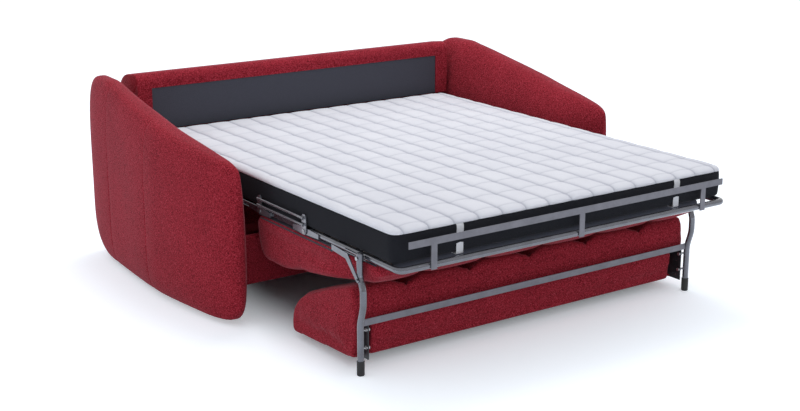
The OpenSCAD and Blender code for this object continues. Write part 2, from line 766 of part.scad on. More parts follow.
// Foot caps: sleeves over the lower ends of the legs
cap_d = leg_d + 4;
module leg_caps() {
    color(black) place() both() translate([leg_x, leg_y, 0]) difference() {
        union() {
            cylinder(d1 = cap_d - 4, d2 = cap_d, h = 3);
            translate([0, 0, 3]) cylinder(d = cap_d, h = cap_h - 3);
        }
        translate([0, 0, cap_h - 30 - seat_gap]) cylinder(d = leg_d + 0.4, h = 40);
    }
}

// Bent flat stops that meet the side tubes when the legs are down
stop_z = 362;
stop_bend_y = leg_y + 60;
stop_far_y = leg_y + 160;
module leg_stops() {
    x = leg_x + leg_d / 2 + 0.3;
    t = 4;
    h = 21;
    lo = [leg_y - 6, stop_z];
    bend = [stop_bend_y, rail_z - 5];
    far = [stop_far_y, rail_z + 3];
    color(steel) place() both() {
        plate_x(x, t, [lo + [-11, -1], lo + [-4, -9], lo + [4, -7], bend + [8, -h * 0.55],
            far + [0, -h / 2], far + [0, h / 2], bend + [-4, h * 0.5]]);
        bar_x(lo[0] + 1, lo[1] + 2, 8, x + t, x + t + 3);
    }
}

module cross_bar() {
    half = leg_x - leg_d / 2 - seat_gap;
    color(steel) place() translate([-half, leg_y - bar_t / 2, cross_bar_z - bar_h / 2])
        cube([2 * half, bar_t, bar_h]);
}

// Drilled plates that join the back cushion's board to the legs
back_plate_x = 781;
back_plate_t = 4;
back_plate_y0 = leg_y - 1;
back_plate_y1 = back_near_y + 46;
back_plate_z0 = 52;
// Width of the open pocket in the cushion beside each plate
slot_side = 28;
stud_y = leg_y + 7;
back_plate_h = 130;
stud_zs = [97, 165];
hole_zs = [72, 131];
hole_ys = [leg_y + 24, leg_y + 37];
module back_brackets() {
    color(black) place() both() difference() {
        translate([back_plate_x, back_plate_y0, back_plate_z0])
            cube([back_plate_t, back_plate_y1 - back_plate_y0, back_plate_h]);
        for (z = stud_zs) bar_x(stud_y, z, 8.1, back_plate_x - 1, back_plate_x + back_plate_t + 1);
        for (z = hole_zs, y = hole_ys)
            bar_x(y, z, 6, back_plate_x - 1, back_plate_x + back_plate_t + 1);
    }
}

module back_studs() {
    color(steel) place() both() for (z = stud_zs) {
        bar_x(stud_y, z, 8, back_plate_x - 6, leg_x - leg_d / 2 - seat_gap);
        bar_x(stud_y, z, 14, back_plate_x - 6, back_plate_x - 0.2);
        bar_x(stud_y, z, 14, back_plate_x + back_plate_t + 0.2, back_plate_x + back_plate_t + 5);
    }
}

arm_left();
arm_right();
back_body();
back_lining();
front_panel();
panel_brackets();
side_plate_left();
side_plate_right();
side_plate_bolts();
floor_glides();
swing_links_front();
swing_links_rear();
middle_frame();
middle_hinge_plates();
middle_slats();
swing_studs();
mattress_head();
link_tubes();
link_plates();
link_rods();
hinge_pins();
link_slats();
mattress_fold();
foot_frame();
foot_hinge_plates();
foot_slats();
foot_guard();
mattress_straps();
mattress_foot();
seat_strips();
seat_board();
seat_cushion();
leg_bolts();
leg_left();
leg_right();
leg_caps();
leg_stops();
cross_bar();
back_brackets();
back_studs();
back_board();
back_cushion();
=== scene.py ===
# Looks of the fold-out sofa bed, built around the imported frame. Lengths in the mesh code are
# millimetres in the drawing's frame, with y = 0 at the mattress foot. make() and write() turn
# them into metres.
import math
import bmesh
import bpy
import numpy as np
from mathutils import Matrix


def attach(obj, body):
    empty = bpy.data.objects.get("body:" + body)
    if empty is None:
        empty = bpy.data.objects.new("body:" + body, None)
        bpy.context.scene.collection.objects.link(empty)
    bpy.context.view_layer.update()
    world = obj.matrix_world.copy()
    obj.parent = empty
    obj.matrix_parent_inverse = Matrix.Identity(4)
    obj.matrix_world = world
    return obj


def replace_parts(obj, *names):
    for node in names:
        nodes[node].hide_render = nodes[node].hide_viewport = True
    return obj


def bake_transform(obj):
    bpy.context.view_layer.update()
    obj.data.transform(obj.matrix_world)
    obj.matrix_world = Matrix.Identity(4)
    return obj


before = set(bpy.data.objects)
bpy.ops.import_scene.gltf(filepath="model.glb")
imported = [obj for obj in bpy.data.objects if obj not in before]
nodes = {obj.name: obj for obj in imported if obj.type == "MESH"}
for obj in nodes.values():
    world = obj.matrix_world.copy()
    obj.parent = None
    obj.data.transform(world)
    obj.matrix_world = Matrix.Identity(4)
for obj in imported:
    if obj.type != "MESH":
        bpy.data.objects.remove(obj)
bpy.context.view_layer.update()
scene = bpy.context.scene
Y_MID = 1041.65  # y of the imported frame's origin

# ---------------------------------------------------------------- camera
cam = bpy.data.objects.new("camera", bpy.data.cameras.new("camera"))
scene.collection.objects.link(cam)
scene.camera = cam
cam.location = (-3.303, -4.69565, 1.908)
tilt, turn = 15.6148, 34.6985  # degrees down, and to the right
cam.rotation_euler = (math.radians(90 - tilt), 0, math.radians(-turn))
cam.data.lens = 61.86
cam.data.sensor_width = 36
cam.data.clip_end = 200


# ---------------------------------------------------------------- materials
def srgb(r, g, b):
    """Linear colour of an 8-bit colour."""
    return tuple(c / 12.92 if c <= 0.04045 else ((c + 0.055) / 1.055) ** 2.4
                 for c in (r / 255, g / 255, b / 255)) + (1.0,)


def math_node(tree, op, a, b=0.0):
    """Output of a math node in the tree; a and b are numbers or sockets."""
    n = tree.nodes.new("ShaderNodeMath")
    n.operation = op
    for socket, value in zip(n.inputs, (a, b)):
        if isinstance(value, (int, float)):
            socket.default_value = value
        else:
            tree.links.new(value, socket)
    return n.outputs[0]


def map_range(tree, value, low, high, reach=1.0, kind="LINEAR"):
    """Maps a value of 0 to reach onto low to high."""
    n = tree.nodes.new("ShaderNodeMapRange")
    n.interpolation_type = kind
    n.inputs["From Max"].default_value = reach
    n.inputs["To Min"].default_value = low
    n.inputs["To Max"].default_value = high
    tree.links.new(value, n.inputs["Value"])
    return n.outputs["Result"]


def seen_directly(tree):
    """1 for rays from the camera, off metal and through glass, else 0."""
    path = tree.nodes.new("ShaderNodeLightPath")
    seen = path.outputs["Is Camera Ray"]
    for ray in ("Is Glossy Ray", "Is Transmission Ray"):
        seen = math_node(tree, "MAXIMUM", seen, path.outputs[ray])
    return seen


class Mat:
    """A node material with short calls for its textures."""

    def __init__(self, name, rough=0.6, metallic=0.0, **values):
        self.m = bpy.data.materials.new(name)
        self.m.use_nodes = True
        self.t = self.m.node_tree
        self.b = self.t.nodes["Principled BSDF"]
        self.b.inputs["Roughness"].default_value = rough
        self.b.inputs["Metallic"].default_value = metallic
        for key, value in values.items():
            self.b.inputs[key.replace("_", " ")].default_value = value
        self.c = self.t.nodes.new("ShaderNodeTexCoord").outputs["Object"]

    def link(self, a, b):
        self.t.links.new(a, b)

    def scaled(self, scale):
        n = self.t.nodes.new("ShaderNodeMapping")
        n.inputs["Scale"].default_value = scale
        self.link(self.c, n.inputs["Vector"])
        return n.outputs["Vector"]

    def noise(self, scale, detail=2.0, rough=0.5, vector=None):
        n = self.t.nodes.new("ShaderNodeTexNoise")
        n.inputs["Scale"].default_value = scale
        n.inputs["Detail"].default_value = detail
        n.inputs["Roughness"].default_value = rough
        self.link(vector or self.c, n.inputs["Vector"])
        return n.outputs["Fac"]

    def cells(self, scale):
        n = self.t.nodes.new("ShaderNodeTexVoronoi")
        n.inputs["Scale"].default_value = scale
        self.link(self.c, n.inputs["Vector"])
        return n.outputs["Distance"]

    def waves(self, scale, axis):
        n = self.t.nodes.new("ShaderNodeTexWave")
        n.bands_direction = axis
        n.inputs["Scale"].default_value = scale
        self.link(self.c, n.inputs["Vector"])
        return n.outputs["Fac"]

    def math(self, op, a, b=0.0):
        return math_node(self.t, op, a, b)

    def ramp(self, fac, stops):
        n = self.t.nodes.new("ShaderNodeValToRGB")
        e = n.color_ramp.elements
        while len(e) < len(stops):
            e.new(0.5)
        for item, (at, colour) in zip(e, stops):
            item.position = at
            item.color = colour
        self.link(fac, n.inputs["Fac"])
        return n.outputs["Color"]

    def mix(self, fac, a, b, blend="MIX"):
        """Colour b laid over a by fac, each a value or a socket."""
        n = self.t.nodes.new("ShaderNodeMix")
        n.data_type = "RGBA"
        n.blend_type = blend
        for socket, value in ((n.inputs["Factor"], fac), (n.inputs["A"], a), (n.inputs["B"], b)):
            if isinstance(value, (int, float, tuple)):
                socket.default_value = value
            else:
                self.link(value, socket)
        return n.outputs["Result"]

    def colour(self, value):
        self.link(value, self.b.inputs["Base Color"])

    def rough(self, fac, low, high):
        self.link(map_range(self.t, fac, low, high), self.b.inputs["Roughness"])

    def bump(self, height, distance, strength):
        """Adds a relief, distance in metres, on top of the bumps already there."""
        n = self.t.nodes.new("ShaderNodeBump")
        n.inputs["Distance"].default_value = distance
        n.inputs["Strength"].default_value = strength
        self.link(height, n.inputs["Height"])
        if self.b.inputs["Normal"].links:
            self.link(self.b.inputs["Normal"].links[0].from_socket, n.inputs["Normal"])
        self.link(n.outputs["Normal"], self.b.inputs["Normal"])


def boucle():
    """Red tweed with looped yarn: knots about 4 mm across, each with its own red, and painted shade
    between the knots.
    """
    m = Mat("boucle", 0.95, Sheen_Weight=0.32, Sheen_Roughness=0.35,
            Sheen_Tint=(1.0, 0.45, 0.52, 1), Specular_IOR_Level=0.12)
    knots = m.cells(210)
    shade = m.ramp(m.noise(235, 4, 0.7), [(0.37, srgb(96, 17, 26)), (0.47, srgb(150, 34, 47)),
                                          (0.55, srgb(170, 47, 61)), (0.68, srgb(200, 78, 94))])
    # painted shade: the red darkens towards the edge of each knot, where shade falls between the
    # loops
    knot_shade = m.ramp(knots, [(0.25, (1, 1, 1, 1)), (0.85, (0.55, 0.46, 0.48, 1))])
    soft = m.ramp(m.noise(5.0, 2), [(0.35, (0.94, 0.94, 0.94, 1)), (0.65, (1.05, 1.05, 1.05, 1))])
    m.colour(m.mix(1.0, m.mix(0.8, shade, knot_shade, "MULTIPLY"), soft, "MULTIPLY"))
    m.bump(m.math("SUBTRACT", 1.0, knots), 0.0022, 0.6)
    m.bump(m.noise(500, 2), 0.0010, 0.5)
    return m.m


def quilt_cover():
    """White knitted cover with a fine knit relief, and painted shade in the quilting grooves:
    greyer where the mesh's seam value is high.
    """
    m = Mat("quilt_cover", 0.85, Sheen_Weight=0.05, Sheen_Roughness=0.5, Specular_IOR_Level=0.2)
    groove_shade = m.t.nodes.new("ShaderNodeAttribute")
    groove_shade.attribute_name = "seam"
    cover = m.ramp(m.noise(6.0, 3), [(0.3, srgb(223, 223, 231)), (0.7, srgb(230, 230, 237))])
    # painted shade: grey laid over the white in and beside the quilting grooves
    m.colour(m.mix(groove_shade.outputs["Fac"], cover, srgb(176, 178, 190)))
    knit = m.math("ADD", m.waves(120, "X"), m.waves(120, "Y"))
    m.bump(knit, 0.0005, 0.35)
    m.bump(m.noise(260, 3), 0.0009, 0.35)
    return m.m


def border_cloth():
    """Charcoal knitted border of the mattress."""
    m = Mat("border_cloth", 0.85, Sheen_Weight=0.03, Sheen_Roughness=0.5, Specular_IOR_Level=0.15)
    weave = m.noise(900, 2, vector=m.scaled((1, 1, 0.45)))
    m.colour(m.ramp(weave, [(0.3, srgb(19, 20, 25)), (0.7, srgb(36, 37, 44))]))
    m.bump(m.waves(210, "Z"), 0.0006, 0.5)
    m.bump(weave, 0.0006, 0.4)
    return m.m


def lining_cloth():
    """Non-woven charcoal lining stapled over a board."""
    m = Mat("lining_cloth", 0.75, Sheen_Weight=0.03, Specular_IOR_Level=0.2)
    fibre = m.noise(500, 4, 0.7, m.scaled((0.4, 1, 1)))
    m.colour(m.ramp(fibre, [(0.25, srgb(59, 60, 68)), (0.75, srgb(76, 77, 88))]))
    m.bump(fibre, 0.0005, 0.5)
    m.bump(m.noise(9, 2), 0.004, 0.15)
    return m.m


def webbing():
    """White elastic webbing with ribs along its length, and painted shade in the troughs between
    the ribs.
    """
    m = Mat("webbing", 0.8, Sheen_Weight=0.15, Specular_IOR_Level=0.25)
    ribs = m.waves(160, "X")
    # painted shade: the white darkens where the rib relief is low
    m.colour(m.ramp(ribs, [(0.1, srgb(214, 214, 220)), (0.6, srgb(238, 238, 243))]))
    m.bump(ribs, 0.0006, 0.8)
    m.bump(m.waves(260, "Z"), 0.0003, 0.5)
    return m.m


def paint(name, low, high, rough, metallic=0.0, grain=900.0, coat=0.0):
    """Sprayed metal: fine orange peel, uneven gloss and light scuffs."""
    m = Mat(name, rough, metallic, Coat_Weight=coat, Coat_Roughness=0.07)
    scuff = m.noise(14, 5, 0.7)
    m.colour(m.ramp(scuff, [(0.35, srgb(*low)), (0.62, srgb(*high))]))
    m.rough(m.noise(60, 3), rough - 0.06, rough + 0.08)
    m.bump(m.noise(grain, 2), 0.00012, 0.25)
    return m.m


def plated():
    """Zinc-plated steel with a fine lengthwise brush."""
    m = Mat("plated_steel", 0.35, 0.95)
    brush = m.noise(1200, 2, vector=m.scaled((0.06, 1, 1)))
    m.colour(m.ramp(brush, [(0.3, srgb(150, 151, 155)), (0.7, srgb(192, 193, 197))]))
    m.rough(brush, 0.26, 0.44)
    m.bump(brush, 0.0002, 0.4)
    return m.m


def plastic():
    """Black moulded plastic with a spark-eroded grain."""
    m = Mat("moulded_plastic", 0.45)
    grain = m.noise(1400, 3)
    m.colour(m.ramp(m.noise(30, 3), [(0.3, srgb(13, 13, 15)), (0.7, srgb(24, 24, 27))]))
    m.rough(grain, 0.38, 0.56)
    m.bump(grain, 0.0003, 0.6)
    return m.m


def stained_wood():
    """Dark stained plywood with grain along X."""
    m = Mat("stained_wood", 0.5)
    ring = m.noise(60, 5, 0.65, m.scaled((0.12, 1, 1)))
    pores = m.noise(900, 2, vector=m.scaled((0.05, 1, 1)))
    m.colour(m.mix(0.35, m.ramp(ring, [(0.35, srgb(58, 50, 45)), (0.65, srgb(88, 76, 67))]),
                   m.ramp(pores, [(0.4, srgb(40, 34, 30)), (0.6, srgb(96, 84, 74))])))
    m.rough(ring, 0.42, 0.62)
    m.bump(pores, 0.0003, 0.5)
    return m.m


BOUCLE, COVER, BORDER = boucle(), quilt_cover(), border_cloth()
LINING, WEB = lining_cloth(), webbing()
TUBE = paint("tube_paint", (90, 91, 99), (106, 107, 116), 0.12, 0.7, grain=500, coat=1.0)
BAR = paint("bar_paint", (110, 109, 117), (124, 123, 131), 0.42, 0.35)
LINKS = paint("link_paint", (112, 113, 121), (132, 134, 142), 0.20, 0.45, grain=500, coat=1.0)
DARK = paint("dark_paint", (44, 46, 50), (58, 60, 65), 0.40, 0.5)
PLATED, PLASTIC, WOOD = plated(), plastic(), stained_wood()

FINISH = {
    TUBE: ["middle_frame", "foot_frame", "link_tubes", "leg_left", "leg_right", "leg_stops",
           "seat_strips", "foot_hinge_plates", "middle_hinge_plates"],
    BAR: ["foot_guard", "cross_bar"],
    LINKS: ["link_plates", "link_rods", "swing_links_front", "swing_links_rear", "side_plate_left",
            "side_plate_right"],
    DARK: ["back_brackets"],
    PLATED: ["panel_brackets", "side_plate_bolts", "swing_studs", "hinge_pins", "leg_bolts",
             "back_studs"],
    PLASTIC: ["floor_glides", "leg_caps"],
    WOOD: ["middle_slats", "link_slats", "foot_slats", "seat_board", "back_board"],
    LINING: ["back_lining"],
}
for mat, names in FINISH.items():
    for name in names:
        for place in nodes[name].material_slots:
            place.material = mat


# ---------------------------------------------------------------- mesh helpers
def edge(d, r):
    """Quarter round: 0 at the edge, 1 from r inwards."""
    t = np.clip(np.asarray(d, float) / r, 0, 1)
    return np.sqrt(1 - (1 - t) ** 2)


def ease(t):
    """Smooth step from 0 to 1."""
    u = np.clip(np.asarray(t, float), 0, 1)
    return u * u * (3 - 2 * u)


def lerp(a, b, t):
    return a + (b - a) * t


def bell(d, width):
    """1 at d = 0, falling off on both sides."""
    return np.exp(-(d / width) ** 2)


def to_metres(pts):
    return (pts - (0, Y_MID, 0)) / 1000


def to_mm(co):
    return co.reshape(-1, 3) * 1000 + (0, Y_MID, 0)


def make(name, pts, faces, mats, index=None, smooth=True):
    """A mesh object from points in millimetres, with outward faces."""
    mesh = bpy.data.meshes.new(name)
    mesh.from_pydata(to_metres(np.asarray(pts, float)).tolist(), [],
                     [list(map(int, f)) for f in faces])
    for mat in mats:
        mesh.materials.append(mat)
    if index is not None:
        mesh.polygons.foreach_set("material_index", np.asarray(index, np.int32))
    bm = bmesh.new()
    bm.from_mesh(mesh)
    bmesh.ops.recalc_face_normals(bm, faces=bm.faces)
    bm.to_mesh(mesh)
    bm.free()
    mesh.polygons.foreach_set("use_smooth", np.full(len(mesh.polygons), smooth))
    mesh.update()
    obj = bpy.data.objects.new(name, mesh)
    scene.collection.objects.link(obj)
    return obj


def ring_quads(m, n):
    """Side faces between m closed rings of n points each."""
    i, j = np.meshgrid(np.arange(m - 1), np.arange(n), indexing="ij")
    k = (j + 1) % n
    quads = np.stack([i * n + j, (i + 1) * n + j, (i + 1) * n + k, i * n + k], -1)
    return quads.reshape(-1, 4).tolist()


def skin(rings):
    """Points and faces of a closed skin over a row of closed rings."""
    rings = np.asarray(rings, float)
    m, n = rings.shape[:2]
    caps = []
    for base in (0, (m - 1) * n):
        caps += [(base + a, base + a + 1, base + n - 2 - a, base + n - 1 - a)
                 for a in range(n // 2 - 1)]
    return rings.reshape(-1, 3), ring_quads(m, n) + caps


def read(obj):
    co = np.zeros(len(obj.data.vertices) * 3)
    obj.data.vertices.foreach_get("co", co)
    return to_mm(co)


def write(obj, pts):
    obj.data.vertices.foreach_set("co", to_metres(pts).ravel())
    obj.data.update()


def normals(obj):
    n = np.zeros(len(obj.data.vertices) * 3)
    obj.data.vertices.foreach_get("normal", n)
    return n.reshape(-1, 3)


def apply_all(obj):
    """Puts the evaluated mesh in place of the object's own, with no modifier left."""
    deps = bpy.context.evaluated_depsgraph_get()
    mesh = bpy.data.meshes.new_from_object(obj.evaluated_get(deps), depsgraph=deps)
    obj.modifiers.clear()
    obj.data = mesh


VOXEL, CLOTH_FRAMES = 0.0095, 20


def remesh(obj):
    mod = obj.modifiers.new("remesh", "REMESH")
    mod.mode = "VOXEL"
    mod.voxel_size = VOXEL
    mod.use_smooth_shade = True
    apply_all(obj)


def inflate(obj, pressure, cap, weight):
    """Blows the closed mesh up as cloth. Each point moves by its weight and at most cap mm."""
    rest = read(obj)
    mod = obj.modifiers.new("cloth", "CLOTH")
    s = mod.settings
    s.quality = 5
    s.mass = 0.3
    s.tension_stiffness = s.compression_stiffness = s.shear_stiffness = 12
    s.bending_stiffness = 0.6
    s.use_pressure = True
    s.uniform_pressure_force = pressure
    s.effector_weights.gravity = 0
    mod.collision_settings.use_collision = False
    mod.point_cache.frame_start, mod.point_cache.frame_end = 1, CLOTH_FRAMES
    for f in range(1, CLOTH_FRAMES + 1):
        scene.frame_set(f)
    deps = bpy.context.evaluated_depsgraph_get()
    blown = obj.evaluated_get(deps).to_mesh()
    co = np.zeros(len(blown.vertices) * 3)
    blown.vertices.foreach_get("co", co)
    obj.evaluated_get(deps).to_mesh_clear()
    obj.modifiers.remove(mod)
    scene.frame_set(1)
    move = to_mm(co) - rest
    move -= move.mean(0)
    size = np.linalg.norm(move, axis=1, keepdims=True)
    move *= np.minimum(1, cap / np.maximum(size, 1e-6))
    write(obj, rest + move * weight(rest)[:, None])


# ---------------------------------------------------------------- mattress
SPLIT = 743.5  # y where the two halves meet
MAT_W, MAT_L = 800.0, 1900.0  # half width and length
MAT_BOTTOM, MAT_SEAM, MAT_RISE = 459.0, 562.0, 23.0  # underside, cover's edge, crown above it
MAT_R = 38.0  # corner radius, and width of the rounded rim
SEAMS_X = -758 + 108 * np.arange(15)
SEAMS_Y = 38 + 142 * np.arange(14)
SEAM_END = 772  # no painted groove shade is laid past this |x|
# height and outward push of each row of the border, from the cover's edge down
BORDER_ROWS = [(561.4, -1.8), (560.2, -2.2), (558.6, -0.4), (556, 0.6), (547, 1.6), (530, 2.4),
               (510, 2.6), (490, 1.8), (474, 0.6), (466, -0.8), (461.5, -3.5), (459.6, -6),
               (MAT_BOTTOM, -9)]


def lines(places, offsets, lo, hi, ends):
    """Sorted grid lines round the seams, with extra ones near the rounded ends."""
    close = 0.9
    v = np.concatenate([(places[:, None] + np.asarray(offsets)[None]).ravel(), ends])
    v = np.unique(np.round(v[(v >= lo) & (v <= hi)], 2))
    keep = [v[0]]
    for x in v[1:]:
        if x - keep[-1] >= close or x == v[-1]:
            keep.append(x)
    return np.array(keep)


def mattress_half(name, end, sign):
    """One half of the mattress: rounded at the end at y = end, cut flat at the split line."""
    near = np.array([0, 0.8, 2, 4, 7, 11, 16, 22, 29, 38, 50])
    xs = lines(SEAMS_X, [0, -2.5, 2.5, -5, 5, -9, 9, -15, 15, -24, 24, -36, 36, -50, 50],
               -MAT_W, MAT_W, np.concatenate([near - MAT_W, MAT_W - near]))
    span = abs(SPLIT - end)
    ys = lines((SEAMS_Y - end) * sign, [0, -3, 3, -7, 7, -15, 15, -30, 30, -50, 50], 0, span,
               np.concatenate([near, [span]]))
    nx, ny = len(xs), len(ys)
    gx, gv = np.meshgrid(xs, ys, indexing="xy")
    # a and b: share of the rim's width used up towards the side and the end
    a = np.clip((np.abs(gx) - (MAT_W - MAT_R)) / MAT_R, 0, 1)
    b = np.clip((MAT_R - gv) / MAT_R, 0, 1)
    ca, cb = a * np.sqrt(1 - b * b / 2), b * np.sqrt(1 - a * a / 2)
    both = (a > 0) & (b > 0)
    ca, cb = np.where(both, ca, a), np.where(both, cb, b)
    px = np.where(a > 0, np.sign(gx) * (MAT_W - MAT_R + MAT_R * ca), gx)
    pv = np.where(b > 0, MAT_R - MAT_R * cb, gv)
    radial = np.hypot(ca, cb)
    d = MAT_R * (1 - np.clip(radial, 0, 1))
    ox = np.where(radial > 0, np.sign(gx) * ca / np.maximum(radial, 1e-9), 0)
    ov = np.where(radial > 0, -cb / np.maximum(radial, 1e-9), 0)
    cos_f = 1 - d / MAT_R
    sin_f = np.sqrt(np.maximum(0, 1 - cos_f ** 2))
    py = end + sign * pv
    dx = np.abs(px[..., None] - SEAMS_X).min(-1)
    dy = np.abs(py[..., None] - SEAMS_Y).min(-1)
    puff = (3.0 - 7.0 * (1 - np.clip(dx / 54, 0, 1)) ** 2.4 - 4.0 * bell(dx, 3.4)
            - 2.6 * (1 - np.clip(dy / 70, 0, 1)) ** 2.4 - 2.0 * bell(dy, 3.0))
    puff = puff + 0.7 * np.sin(px / 31) * np.sin(py / 47)
    if sign < 0:
        puff = puff * lerp(0.3, 1, ease((gv - 20) / 90))
    # painted shade: the seam value greys the cover in the quilting grooves and the shallow valleys
    # beside them
    seam = np.clip(0.6 * bell(dx, 3.6) + 0.3 * bell(dx, 15) + 0.35 * bell(dy, 3.0)
                   + 0.1 * bell(dy, 14), 0, 1) * (np.abs(gx) < SEAM_END)
    side = 0.45 + 0.55 * sin_f
    z = MAT_SEAM + MAT_RISE * sin_f + puff * sin_f * side
    out = puff * cos_f * 0.8 * side
    top = np.stack([px + ox * out, py + sign * ov * out, z], -1)

    pts = [top.reshape(-1, 3)]
    grid = np.arange(ny * nx).reshape(ny, nx)
    quads = np.stack([grid[:-1, :-1], grid[:-1, 1:], grid[1:, 1:], grid[1:, :-1]], -1)
    quads = quads.reshape(-1, 4).tolist()
    index = [0] * len(quads)
    # open ring from the cut end's left corner, round the rounded end, to its right corner
    loop = np.concatenate([grid[::-1, 0], grid[0, 1:], grid[1:, -1]])
    flat = np.stack([px, py], -1).reshape(-1, 2)[loop]
    outward = np.stack([ox, sign * ov], -1).reshape(-1, 2)[loop]
    count = ny * nx
    rings = [loop]
    for height, push in BORDER_ROWS:
        p = flat + outward * push
        pts.append(np.column_stack([p, np.full(len(p), height)]))
        rings.append(np.arange(count, count + len(loop)))
        count += len(loop)
    for r0, r1 in zip(rings[:-1], rings[1:]):
        quads += np.stack([r0[:-1], r0[1:], r1[1:], r1[:-1]], -1).tolist()
        index += [1] * (len(loop) - 1)
    last = rings[-1]
    left, right = last[:ny][::-1], last[-ny:]
    for i in range(ny - 1):
        quads.append([left[i], right[i], right[i + 1], left[i + 1]])
        index.append(1)
    quads.append(list(last[ny - 1:len(last) - ny + 1]))
    index.append(1)
    cut = list(grid[-1, :]) + [r[-1] for r in rings[1:]] + [r[0] for r in rings[:0:-1]]
    quads.append(cut)
    index.append(1)
    obj = make(name, np.concatenate(pts), quads, [COVER, BORDER], index)
    # the seam attribute carries the painted groove shade to the cover's colour
    shade = obj.data.attributes.new("seam", "FLOAT", "POINT")
    shade.data.foreach_set("value", np.concatenate([seam.ravel(), np.zeros(count - ny * nx)]))
    # a sharp rim keeps the split between the halves from showing as a shaded line
    rim = set(obj.data.polygons[len(quads) - 1].edge_keys)
    for e in obj.data.edges:
        e.use_edge_sharp = e.key in rim
    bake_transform(obj)
    return obj


foot_half = mattress_half("mattress_foot_half", 0.0, 1)
head_half = mattress_half("mattress_head_half", MAT_L, -1)
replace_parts(foot_half, "mattress_foot", "mattress_fold")
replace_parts(head_half, "mattress_head")


# ---------------------------------------------------------------- elastic straps
STRAP_MID, STRAP_OFF, STRAP_HALF, STRAP_THICK = 10, 530, 15, 0.0013


def strap(name, x0):
    """Elastic strap from under the cover's edge down the foot face and back under the slat."""
    path = [(3.0, 561.6), (0.4, 560.6), (-2.0, 557), (-3.4, 548), (-2.6, 534), (-1.4, 515),
            (-1.2, 490), (-1.2, 470), (-1.2, 458), (-0.9, 453.4), (0.8, 451.7), (4, 451.6),
            (20, 451.6), (55, 451.6), (90, 451.6)]
    across = np.linspace(0, 2 * STRAP_HALF, 13)
    crown = 0.5 * (1 - ((across - STRAP_HALF) / STRAP_HALF) ** 2)
    pts = np.array([(x0 + x, y - lift * (z > 500), z) for y, z in path
                    for x, lift in zip(across, crown)])
    n = len(across)
    faces = [(i * n + j, i * n + j + 1, (i + 1) * n + j + 1, (i + 1) * n + j)
             for i in range(len(path) - 1) for j in range(n - 1)]
    obj = make(name, pts, faces, [WEB])
    mod = obj.modifiers.new("thickness", "SOLIDIFY")
    mod.thickness = STRAP_THICK
    mod.offset = 0
    apply_all(obj)
    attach(obj, "foot")
    return obj


strap_left = strap("strap_left", STRAP_MID - STRAP_OFF - STRAP_HALF)
strap("strap_right", STRAP_MID + STRAP_OFF - STRAP_HALF)
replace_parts(strap_left, "mattress_straps")


# ---------------------------------------------------------------- arms
ARM_FRONT, REAR, IN, GLIDE = 838.0, 2120.0, 850.0, 24.0  # front and rear y, inner |x|, lowest z
SEAMS_OUT, SEAM_IN = (1420.0, 1840.0), 1595.0  # y of the sewn seams on the two faces


def along(a, b, n):
    """n places from a to b, closer together at both ends."""
    return lerp(a, b, 0.5 - 0.5 * np.cos(np.pi * np.linspace(0, 1, n)))


def sewn(d, groove, valley):
    """Depth at distance d from a seam: a fine groove in a shallow valley."""
    return groove * bell(d, 2.6) + valley * bell(d, 26)


def arm_mesh(name, mirror):
    """Right arm as rings along y, with a flat inner face, or its mirror image."""
    cols = 150
    beside = np.array([-14, -8, -5, -3, -1.5, 0, 1.5, 3, 5, 8, 14])
    rows = np.concatenate([along(ARM_FRONT, REAR, 76)]
                          + [at + beside for at in (*SEAMS_OUT, SEAM_IN)])
    rows = np.unique(np.round(rows, 2))
    ang = 2 * np.pi * np.arange(cols) / cols
    c, w = np.cos(ang), np.sin(ang)
    rings = []
    for y in rows:
        s, q = y - ARM_FRONT, REAR - y
        reach = (lerp(87, 232 - 55.5 * np.clip((s - 500) / 800, 0, 1), edge(s, 775))
                 - 33 * (1 - edge(q, 172)))
        ridge = (lerp(660, 830, np.clip((s - 60) / 1000, 0, 1) ** 1.14) - 45 * (1 - edge(s, 99))
                 - 84 * (1 - edge(q, 115)))
        low = GLIDE - 23.6 + 110 * (1 - edge(s, 133)) + 132.5 * (1 - edge(q, 260))
        xi, xo = IN + 77 * (1 - edge(s, 390)) + 24 * (1 - edge(q, 40)), IN + reach
        xc = lerp(xi, xo, lerp(0.515, 0.636, np.clip(s / 900, 0, 1)))
        zc = lerp(low, ridge, 0.332)
        ax = np.where(c > 0, xo - xc, xc - xi)
        bz = np.where(w > 0, ridge - zc, zc - low)
        p = np.where(c > 0, np.where(w > 0, 4.1, 3.4), np.where(w > 0, 2.2, 2.8))
        dent = sum(sewn(y - at, 2.2, 1.4) for at in SEAMS_OUT) * np.clip(c * 3, 0, 1)
        dent = dent + sewn(y - SEAM_IN, 2.2, 1.2) * np.clip(-c * 3, 0, 1)
        wave = 0.8 * np.sin(y / 90 + 2 * ang) + 0.6 * np.sin(y / 57 - 3 * ang)
        k = 1 + (wave - dent) / np.hypot(ax * c, bz * w) * edge(s, 60)
        x = xc + ax * np.sign(c) * np.abs(c) ** (2 / p) * k
        z = zc + bz * np.sign(w) * np.abs(w) ** (2 / p) * k
        x = np.maximum(x, IN)
        rings.append(np.column_stack([x, np.full(cols, y), np.maximum(GLIDE, z)]))
    pts, faces = skin(rings)
    if mirror:
        pts = pts * (-1, 1, 1)
    obj = make(name, pts, faces, [BOUCLE])
    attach(obj, "sofa")
    return obj


for name, mirror in (("arm_right", False), ("arm_left", True)):
    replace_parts(arm_mesh("pad_" + name, mirror), name)


# ---------------------------------------------------------------- back shell and front panel
BACK_HALF, BOARD_HALF, BOARD_Y = 849.8, 781, 1942.4  # half widths, and y of the lining's seat
RAIL_HALF, RAIL_Y, RAIL_Z = 867.2, 968.5, 228  # half length and middle of the front rail
RAIL_JOINTS = (-283.0, 283.0)


def arc(c, r, a0, a1, n):
    a = np.radians(np.linspace(a0, a1, n + 1))
    return np.column_stack([c[0] + r * np.cos(a), c[1] + r * np.sin(a)])


